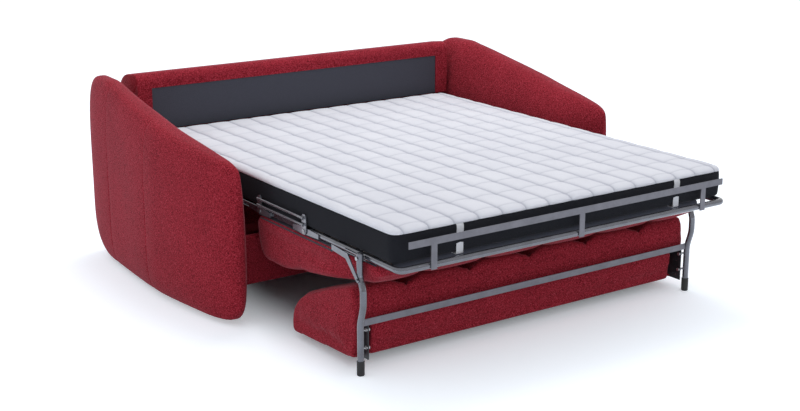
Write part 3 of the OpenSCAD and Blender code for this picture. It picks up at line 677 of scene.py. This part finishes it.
def back_mesh():
    """Upholstered back: rounded top roll, hollow underneath, with a step round the lining."""
    front = np.array([(1925, z) for z in (575, 600, 650, 700, 740, 764.8, 765.4, 772, 782)], float)
    roll = np.concatenate([arc((1965, 790), 40, 180, 95, 14), arc((2025, 720), 100, 80, 5, 18)])
    rear = np.array([(2120, 610), (2121, 520), (2120, 420), (2116, 330), (2106, 220),
                     (2090, 110), (2065, 44), (2056, 32), (2040, 24)], float)
    inner = np.array([(1852, 24), (1852, 34), (2024, 34), (2064, 110), (2078, 220), (2086, 330),
                      (2086, 450), (2086, 575)], float)
    outline = np.concatenate([front, roll, rear, inner])
    ends = np.array([0, 1, 3, 6, 10, 16, 24])
    xs = np.unique(np.concatenate([ends - BACK_HALF, BACK_HALF - ends, np.linspace(-825, 825, 56),
                                   [-BOARD_HALF, BOARD_HALF]]))
    rings = []
    step = outline.copy()
    step[:6, 0] = BOARD_Y
    for x in xs:
        inset = 6 * (1 - edge(BACK_HALF - abs(x), 10))
        for ring in ([outline] if abs(x) > BOARD_HALF + 0.5 else [step] if abs(x) < BOARD_HALF - 0.5
                     else [outline, step] if x < 0 else [step, outline]):
            p = ring.copy()
            top = np.clip((p[:, 1] - 575) / 40, 0, 1)
            p[:, 1] -= inset * top * (p[:, 1] > 700)
            p[:, 0] += 0.8 * np.sin(x / 140) * (p[:, 1] > 780) * (p[:, 0] > 1930)
            rings.append(np.column_stack([np.full(len(p), x), p]))
    rings = np.array(rings)
    m, n = rings.shape[:2]
    caps = [list(range(n)), list(range((m - 1) * n, m * n))]
    obj = make("back_shell", rings.reshape(-1, 3), ring_quads(m, n) + caps, [BOUCLE])
    mod = obj.modifiers.new("corner", "EDGE_SPLIT")
    mod.split_angle = math.radians(50)
    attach(obj, "sofa")
    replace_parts(obj, "back_body")


back_mesh()


def panel_mesh():
    """Upholstered front rail of the sofa with rounded long edges and two sewn joints."""
    n = 40
    rings = []
    ends, beside = np.array([0, 1, 3, 6, 10]), np.array([-8, -4, -2, 0, 2, 4, 8])
    xs = np.unique(np.concatenate([ends - RAIL_HALF, RAIL_HALF - ends, np.linspace(-852, 852, 60)]
                                  + [j + beside for j in RAIL_JOINTS]))
    a = 2 * np.pi * np.arange(n) / n
    c, w = np.cos(a), np.sin(a)
    for x in xs:
        r = 1 - 0.12 * (1 - edge(RAIL_HALF - abs(x), 10))
        dent = sum(2.0 * bell(x - j, 2.5) for j in RAIL_JOINTS)
        hy, hz = 11.5 * r - dent * 0.8, 100 * (1 - 0.02 * (1 - r)) - dent
        y = RAIL_Y + hy * np.sign(c) * np.abs(c) ** (2 / 3.2)
        z = RAIL_Z + (hz + 4 * (w > 0)) * np.sign(w) * np.abs(w) ** (2 / 14)
        rings.append(np.column_stack([np.full(n, x), y, z]))
    obj = make("front_rail", *skin(rings), [BOUCLE])
    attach(obj, "sofa")
    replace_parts(obj, "front_panel")


panel_mesh()


# ---------------------------------------------------------------- cushions
PUFF, DEPTH = 291.0, 13.0  # spacing and depth of the sewn channels
HALF, SEAT_TOP = 822.0, 424.9  # half width of both cushions, top of the hanging seat cushion
SEAT_HALF_NARROW, LEG_Y = 798, 184  # the seat cushion is narrower beside the legs
CREASES = PUFF * np.arange(-2, 3)
CUSHION_ROWS = 45


def beside_crease(x):
    """Distance from x to the nearest place of a channel."""
    return abs(x - PUFF * np.round(x / PUFF))


def soft_channel(x):
    """Seat's channels: 1 in a crease, a little below 0 between two."""
    off = beside_crease(x)
    deep = 0.0 if abs(x) > 2.6 * PUFF else math.exp(-(off / 24) ** 2)
    return deep - 0.35 * math.sin(math.pi * min(1.0, off / PUFF))


def wide_channel(x):
    """Back's channels: 1 in a crease and 0 from 84 mm beside it."""
    return 0.0 if abs(x) > 2.6 * PUFF else max(0.0, 1 - beside_crease(x) / 84) ** 2


def no_channel(x):
    return 0.0


def cushion_rings(upper, lower, dent_up, dent_low, ys, r, spare=0.0):
    """Closed rings along x: each holds the upper side rear to front, then the lower side back.
    dent_up and dent_low give how deep the two sides lie in at x, for every y."""
    fine = np.array([0, 1.5, 4, 8, 13, 20, 28, 38, 50, 64])
    end = HALF + spare
    xs = np.unique(np.concatenate([fine - end, end - fine, np.linspace(-750, 750, 110), CREASES]))
    mid, half = (upper + lower) / 2, (upper - lower) / 2
    rings = []
    for x in xs:
        u = min(1.0, max(0.0, (abs(x) - (end - r)) / r))
        inset = r * (1 - math.sqrt(max(0, 1 - u * u)))
        y = lerp(ys, (ys[0] + ys[-1]) / 2, 2 * inset / (ys[-1] - ys[0]))
        up = mid + np.maximum(half - inset - dent_up(x), 0.45 * half)
        low = mid - np.maximum(half - inset - dent_low(x), 0.45 * half)
        ring = np.concatenate([np.column_stack([y, up]), np.column_stack([y, low])[::-1]])
        rings.append(np.column_stack([np.full(len(ring), x), ring]))
    return np.array(rings)


def carve(obj, lo, hi):
    """Takes a box out of the mesh, in millimetres."""
    corners = [(x, y, z) for x in (lo[0], hi[0]) for y in (lo[1], hi[1]) for z in (lo[2], hi[2])]
    sides = [(0, 1, 3, 2), (4, 6, 7, 5), (0, 4, 5, 1), (2, 3, 7, 6), (0, 2, 6, 4), (1, 5, 7, 3)]
    box = make("cutter", corners, sides, [BOUCLE], smooth=False)
    mod = obj.modifiers.new("cut", "BOOLEAN")
    mod.operation = "DIFFERENCE"
    mod.solver = "EXACT"
    mod.object = box
    apply_all(obj)
    bpy.data.objects.remove(box)


def seam_round_ends(obj):
    """Sewn seam where the end panels meet the long faces."""
    p, n = read(obj), normals(obj)
    at = np.abs(np.abs(p[:, 0]) - (HALF - 13))
    p -= n * (2.4 * bell(at, 4.0))[:, None]
    write(obj, p)


def pinch(obj, share):
    """Draws the fabric into a narrow crease along each channel."""
    p, n = read(obj), normals(obj)
    for c in CREASES:
        dx = p[:, 0] - c
        s = share(p) * (np.abs(dx) < 60)
        p[:, 0] -= dx * 0.5 * bell(dx, 16) * s
        p -= n * (9.0 * bell(dx, 7.5) * s)[:, None]
    write(obj, p)


def finish_cushion(obj, body, node, lined=None):
    """Smooths and dresses the cushion; lined says which faces get the dark lining cloth."""
    mod = obj.modifiers.new("smooth", "SUBSURF")
    mod.levels = mod.render_levels = 1
    obj.data.polygons.foreach_set("use_smooth", np.full(len(obj.data.polygons), True))
    obj.data.materials.clear()
    obj.data.materials.append(BOUCLE)
    if lined:
        obj.data.materials.append(LINING)
        for face in obj.data.polygons:
            x, y, z = face.center
            face.material_index = int(lined(x * 1000, y * 1000 + Y_MID, z * 1000, face.normal.z))
    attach(obj, body)
    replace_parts(obj, node)


def seat_mesh():
    """Seat cushion, which hangs with its sitting side down."""
    rear, front, dip = 105.0, 940.0, 622.0
    ys = along(rear, front, CUSHION_ROWS)
    depth = (lerp(76, 176, np.clip((ys - rear - 55) / 600, 0, 1)) * edge(ys - rear + 6, 70)
             * (0.35 + 0.65 * edge(front - ys, 62)) - 5 * bell(ys - dip, 34))
    share = edge(ys - rear, 90) * edge(front - ys, 50) * (1 - 0.5 * bell(ys - dip, 60))
    upper = SEAT_TOP - 24 * (1 - edge(ys - rear, 24)) - 58 * (1 - edge(front - ys, 36))
    lower = SEAT_TOP - np.maximum(depth, np.where(ys > front - 1, 92, 46))
    rings = cushion_rings(upper, lower, no_channel,
                          lambda x: share * DEPTH * soft_channel(x), ys, 26)
    rings[..., 0] *= lerp(SEAT_HALF_NARROW, HALF, ease((rings[..., 1] - LEG_Y - 40) / 190)) / HALF
    obj = make("seat_pad", *skin(rings), [BOUCLE])
    remesh(obj)

    def weight(p):
        free = np.clip((SEAT_TOP - 16 - p[:, 2]) / 40, 0, 1)
        return free * (1 - 0.75 * bell(p[:, 1] - 400, 160) * (p[:, 2] < 340))

    inflate(obj, 4.0, 8.0, weight)
    seam_round_ends(obj)

    def share_at(q):
        under = np.clip((SEAT_TOP - 60 - q[:, 2]) / 50, 0, 1)
        return under * edge(q[:, 1] - rear, 90) * edge(front - q[:, 1], 50)

    pinch(obj, share_at)
    # the board lies in a recess of the upper face
    p = read(obj)
    inside = (np.abs(p[:, 0]) < 771) & (p[:, 1] > 134) & (p[:, 1] < 906) & (p[:, 2] > SEAT_TOP - 24)
    p[inside, 2] = SEAT_TOP - 15.6
    p[:, 2] = np.minimum(p[:, 2], SEAT_TOP)
    write(obj, p)

    def lined(x, y, z, up):
        # the lining covers the up-facing top under the board, and also faces within 30 mm of the
        # top along the edge at y < 150, from x = -730 on
        return (z > SEAT_TOP - 24 and up > 0.8) or (z > SEAT_TOP - 30 and y < 150 and x > -730)

    finish_cushion(obj, "foot", "seat_cushion", lined)


def back_pad_mesh():
    """Back cushion, which lies over the floor between the legs, thick at its near end."""
    near, length = 214.0, 452.0
    far = near + length
    foot_near, foot_far, thick_near, thick_far = 50, 24, 276, 126
    ys = along(near, far, CUSHION_ROWS)
    v = (ys - near) / length
    base = lerp(foot_near, foot_far, v)
    core = lerp(0.42 * thick_near + foot_near, 0.46 * thick_far + foot_far, v)
    crest = lerp(foot_near + thick_near, foot_far + thick_far, v) + 12 * np.sin(np.pi * v)
    shoulder = (1 - (1 - np.clip((ys - near) / 60, 0, 1)) ** 3.6) ** (1 / 3.6)
    upper = lerp(core, crest, np.maximum(0.1, shoulder * edge(far - ys, 84)))
    lower = lerp(core, base, np.maximum(0.1, edge(ys - near, 12) * edge(far - ys, 32)))
    deep = ((1 + 2.6 * bell(ys - near - 44, 55)) * ease((ys - near - 4) / 36)
            * edge(far - ys, 160))
    rings = cushion_rings(upper, lower, lambda x: deep * DEPTH * wide_channel(x),
                          no_channel, ys, 7, 4)
    obj = make("back_pad", *skin(rings), [BOUCLE])
    for side in (-1, 1):  # room for the brackets
        x0, x1 = sorted((side * 752.0, side * 786.4))
        carve(obj, (x0, near - 60, 50), (x1, near + 48, 184))
    remesh(obj)

    def weight(q):
        bottom = lerp(foot_near, foot_far, (q[:, 1] - near) / length)
        lift = np.clip((q[:, 2] - bottom - 8) / 45, 0, 1)
        slot = 1 - bell(np.abs(q[:, 0]) - 769, 45) * (q[:, 1] < near + 90) * (q[:, 2] < 230)
        room = 1 - 0.75 * bell(q[:, 1] - 400, 160) * (q[:, 2] > 200)
        return lift * slot * room

    inflate(obj, 4.0, 8.0, weight)
    seam_round_ends(obj)

    def share_at(q):
        return (ease((q[:, 2] - 258) / 24) * np.clip((q[:, 1] - near + 12) / 20, 0, 1)
                * edge(far - q[:, 1], 160))

    pinch(obj, share_at)
    finish_cushion(obj, "prop", "back_cushion")


seat_mesh()
back_pad_mesh()


# ---------------------------------------------------------------- floor, backdrop and lights
def floor():
    """Wide floor that keeps the shadow under the sofa's core; further out a bluish glow for camera
    and reflections, painted light, lightens the shadow beside the sofa and turns the floor white.
    """
    mesh = bpy.data.meshes.new("floor")
    s = 60.0
    mesh.from_pydata([(-s, -s, 0), (s, -s, 0), (s, s, 0), (-s, s, 0)], [], [(0, 1, 2, 3)])
    obj = bpy.data.objects.new("floor", mesh)
    scene.collection.objects.link(obj)
    m = Mat("studio_floor", 0.9, Specular_IOR_Level=0.05)
    m.b.inputs["Base Color"].default_value = (0.86, 0.91, 0.97, 1)
    # painted light: bluish tint of the glow that lightens the floor's shadow
    m.b.inputs["Emission Color"].default_value = (0.92, 0.96, 1, 1)
    place = m.t.nodes.new("ShaderNodeSeparateXYZ")
    m.link(m.c, place.inputs["Vector"])
    beside = m.math("SUBTRACT", m.math("ABSOLUTE", place.outputs["X"]), 0.6)
    before = m.math("ABSOLUTE", m.math("SUBTRACT", place.outputs["Y"], 0.25))
    away = m.math("MAXIMUM", beside, m.math("SUBTRACT", before, 0.8))
    # painted light: the glow rises from nothing at the sofa's core to 0.42 at 0.35 m beyond it
    fade = map_range(m.t, away, 0.0, 0.42, 0.35, "SMOOTHSTEP")
    m.link(m.math("MULTIPLY", seen_directly(m.t), fade), m.b.inputs["Emission Strength"])
    obj.data.materials.append(m.m)


def sky():
    """Softbox overhead that fades to the horizon; camera and reflections see plain white."""
    world = bpy.data.worlds.new("studio")
    scene.world = world
    world.use_nodes = True
    t = world.node_tree
    light = t.nodes["Background"]
    light.inputs["Color"].default_value = (0.96, 0.98, 1.0, 1)
    white = t.nodes.new("ShaderNodeBackground")
    white.inputs["Strength"].default_value = 1.0
    place = t.nodes.new("ShaderNodeSeparateXYZ")
    t.links.new(t.nodes.new("ShaderNodeTexCoord").outputs["Generated"], place.inputs["Vector"])
    t.links.new(map_range(t, place.outputs["Z"], 0.72, 0.86), light.inputs["Strength"])
    mix = t.nodes.new("ShaderNodeMixShader")
    t.links.new(seen_directly(t), mix.inputs["Fac"])
    t.links.new(light.outputs[0], mix.inputs[1])
    t.links.new(white.outputs[0], mix.inputs[2])
    t.links.new(mix.outputs[0], t.nodes["World Output"].inputs["Surface"])


def lamp(name, place, target, size, power):
    """Round area lamp at place that faces target."""
    data = bpy.data.lights.new(name, "AREA")
    data.shape = "DISK"
    data.size = size
    data.energy = power
    obj = bpy.data.objects.new(name, data)
    scene.collection.objects.link(obj)
    obj.location = place
    d = [t - p for t, p in zip(target, place)]
    yaw, level = math.atan2(d[0], -d[1]), math.hypot(d[0], d[1])
    obj.rotation_euler = (math.atan2(level, -d[2]), 0, yaw)


floor()
sky()
lamp("key", (-1.6, -5.6, 2.0), (0, 0, 0.3), 2.4, 325)
lamp("top", (0.4, 1.2, 5.0), (0, 0.2, 0.4), 2.2, 75)
lamp("side", (-5.4, -0.2, 1.6), (-0.9, 0.4, 0.4), 1.8, 200)

scene.view_settings.view_transform = "Standard"
